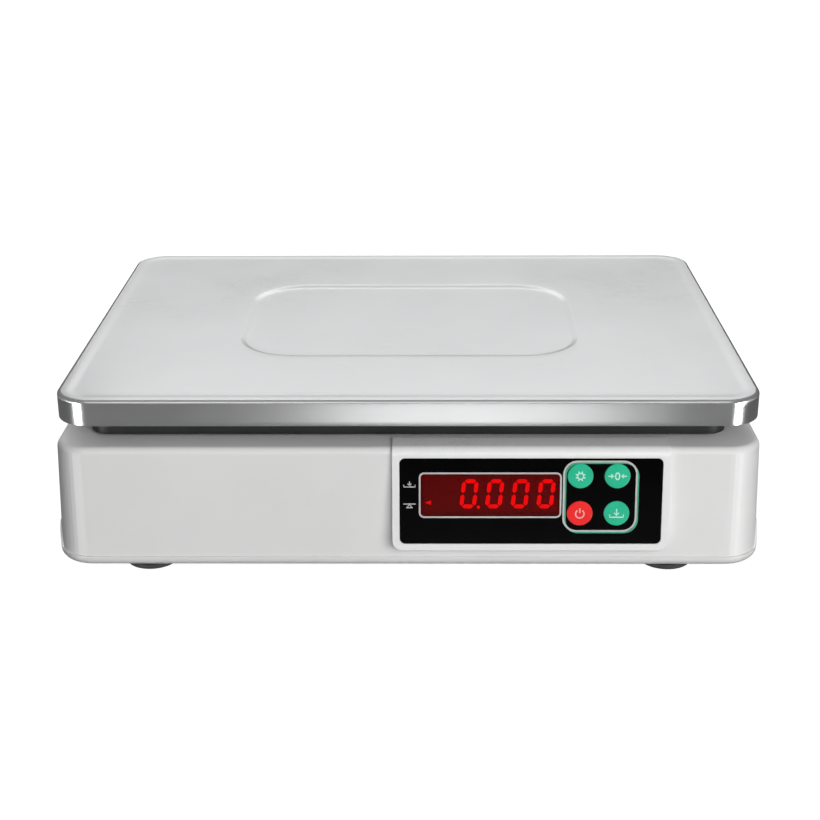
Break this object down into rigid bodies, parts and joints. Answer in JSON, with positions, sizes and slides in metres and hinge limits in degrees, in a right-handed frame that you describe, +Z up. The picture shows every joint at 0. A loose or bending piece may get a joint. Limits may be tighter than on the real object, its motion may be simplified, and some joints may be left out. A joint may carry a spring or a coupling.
{
  "type": "platform shipping scale",
  "caption": "Flat bench scale with a steel pan over a white plastic base, a tilted front display with keys, and screw feet.",
  "frame": {"origin": "on the floor, under the middle of the weighing pan", "axes": "+X to the user's right, -Y towards the user and the display, +Z up"},
  "size_m": [0.3578, 0.2811, 0.096],
  "materials": {
    "white_shell": "fine satin moulded white plastic",
    "bezel_white": "semi-gloss white plastic",
    "panel_black": "gloss black printed film on acrylic",
    "window_red": "dark red transparent acrylic",
    "led_lit": "lit red display strokes",
    "dark_plastic": "moulded dark plastic",
    "pcb_green": "green solder resist",
    "pan_steel": "brushed stainless steel",
    "carrier_black": "black powder coat on pressed steel",
    "cast_alu": "as-cast aluminium",
    "cell_alu": "milled aluminium",
    "zinc_steel": "zinc-plated steel",
    "black_steel": "black oxide steel",
    "brass": "turned brass",
    "rubber_black": "black rubber",
    "foot_black": "knurled black nylon",
    "key_green": "green key face",
    "key_red": "red key face",
    "battery_grey": "grey battery case",
    "cable_grey": "grey cable sheath",
    "ribbon_grey": "flat grey ribbon cable",
    "lead_red": "red wire insulation",
    "level_green": "green fluid behind clear acrylic"
  },
  "bodies": {
    "base": {"bottom_shell": "white_shell", "top_cover": "white_shell", "cover_screws": "zinc_steel", "display_bezel": "bezel_white", "bezel_screws": "zinc_steel", "front_panel": "panel_black", "display_window": "window_red", "led_module": "dark_plastic", "led_segments": "led_lit", "display_board": "pcb_green", "display_board_screws": "zinc_steel", "key_switches": "dark_plastic", "base_plate": "zinc_steel", "base_plate_screws": "zinc_steel", "cell_spacer": "cast_alu", "load_cell": "cell_alu", "cell_screws": "black_steel", "overload_stops": "black_steel", "main_board": "pcb_green", "board_parts": "dark_plastic", "board_screws": "zinc_steel", "battery": "battery_grey", "battery_door": "white_shell", "door_screws": "zinc_steel", "dc_jack": "dark_plastic", "serial_port": "zinc_steel", "port_jack_screws": "zinc_steel", "level_housing": "dark_plastic", "level_vial": "level_green", "cell_cable": "cable_grey", "display_cable": "ribbon_grey", "battery_leads": "lead_red", "foot_inserts": "brass"},
    "weigh_carrier": {"load_arm": "cast_alu", "arm_screws": "black_steel", "pan_carrier": "carrier_black", "carrier_screws": "zinc_steel", "pan_pads": "rubber_black"},
    "pan": {"weighing_pan": "pan_steel", "pan_pins": "zinc_steel"},
    "button_set": {"key_set": "key_green", "plunger_set": "dark_plastic"},
    "button_zero": {"key_zero": "key_green", "plunger_zero": "dark_plastic"},
    "button_power": {"key_power": "key_red", "plunger_power": "dark_plastic"},
    "button_tare": {"key_tare": "key_green", "plunger_tare": "dark_plastic"},
    "foot_pad_fl": {"foot_pad_fl": "rubber_black"},
    "foot_screw_fl": {"foot_screw_fl": "foot_black"},
    "foot_pad_fr": {"foot_pad_fr": "rubber_black"},
    "foot_screw_fr": {"foot_screw_fr": "foot_black"},
    "foot_pad_bl": {"foot_pad_bl": "rubber_black"},
    "foot_screw_bl": {"foot_screw_bl": "foot_black"},
    "foot_pad_br": {"foot_pad_br": "rubber_black"},
    "foot_screw_br": {"foot_screw_br": "foot_black"}
  },
  "joints": [
    {"name": "weigh_travel", "type": "slide", "parent": "base", "child": "weigh_carrier", "axis": [0, 0, -1], "range_m": [0, 0.0005], "stiffness_N_per_m": 600000, "deforming": ["load_cell"]},
    {"name": "pan_lift", "type": "slide", "parent": "weigh_carrier", "child": "pan", "axis": [0, 0, 1], "range_m": [0, 0.06]},
    {"name": "press_set", "type": "slide", "parent": "base", "child": "button_set", "axis": [0, 0.9903, -0.1392], "range_m": [0, 0.0005], "stiffness_N_per_m": 2500, "springref_m": -0.0002},
    {"name": "press_zero", "type": "slide", "parent": "base", "child": "button_zero", "axis": [0, 0.9903, -0.1392], "range_m": [0, 0.0005], "stiffness_N_per_m": 2500, "springref_m": -0.0002},
    {"name": "press_power", "type": "slide", "parent": "base", "child": "button_power", "axis": [0, 0.9903, -0.1392], "range_m": [0, 0.0005], "stiffness_N_per_m": 2500, "springref_m": -0.0002},
    {"name": "press_tare", "type": "slide", "parent": "base", "child": "button_tare", "axis": [0, 0.9903, -0.1392], "range_m": [0, 0.0005], "stiffness_N_per_m": 2500, "springref_m": -0.0002},
    {"name": "foot_height_fl", "type": "slide", "parent": "base", "child": "foot_pad_fl", "axis": [0, 0, -1], "range_m": [0, 0.008]},
    {"name": "foot_turn_fl", "type": "hinge", "parent": "foot_pad_fl", "child": "foot_screw_fl", "pos_m": [-0.1335, -0.11, 0.005], "axis": [0, 0, 1], "range_deg": [0, 2304]},
    {"name": "foot_height_fr", "type": "slide", "parent": "base", "child": "foot_pad_fr", "axis": [0, 0, -1], "range_m": [0, 0.008]},
    {"name": "foot_turn_fr", "type": "hinge", "parent": "foot_pad_fr", "child": "foot_screw_fr", "pos_m": [0.1335, -0.11, 0.005], "axis": [0, 0, 1], "range_deg": [0, 2304]},
    {"name": "foot_height_bl", "type": "slide", "parent": "base", "child": "foot_pad_bl", "axis": [0, 0, -1], "range_m": [0, 0.008]},
    {"name": "foot_turn_bl", "type": "hinge", "parent": "foot_pad_bl", "child": "foot_screw_bl", "pos_m": [-0.1335, 0.11, 0.005], "axis": [0, 0, 1], "range_deg": [0, 2304]},
    {"name": "foot_height_br", "type": "slide", "parent": "base", "child": "foot_pad_br", "axis": [0, 0, -1], "range_m": [0, 0.008]},
    {"name": "foot_turn_br", "type": "hinge", "parent": "foot_pad_br", "child": "foot_screw_br", "pos_m": [0.1335, 0.11, 0.005], "axis": [0, 0, 1], "range_deg": [0, 2304]}
  ],
  "couplings": [
    {"joint": "foot_height_fl", "follows": "foot_turn_fl", "m_per_rad": 0.00019894},
    {"joint": "foot_height_fr", "follows": "foot_turn_fr", "m_per_rad": 0.00019894},
    {"joint": "foot_height_bl", "follows": "foot_turn_bl", "m_per_rad": 0.00019894},
    {"joint": "foot_height_br", "follows": "foot_turn_br", "m_per_rad": 0.00019894}
  ]
}
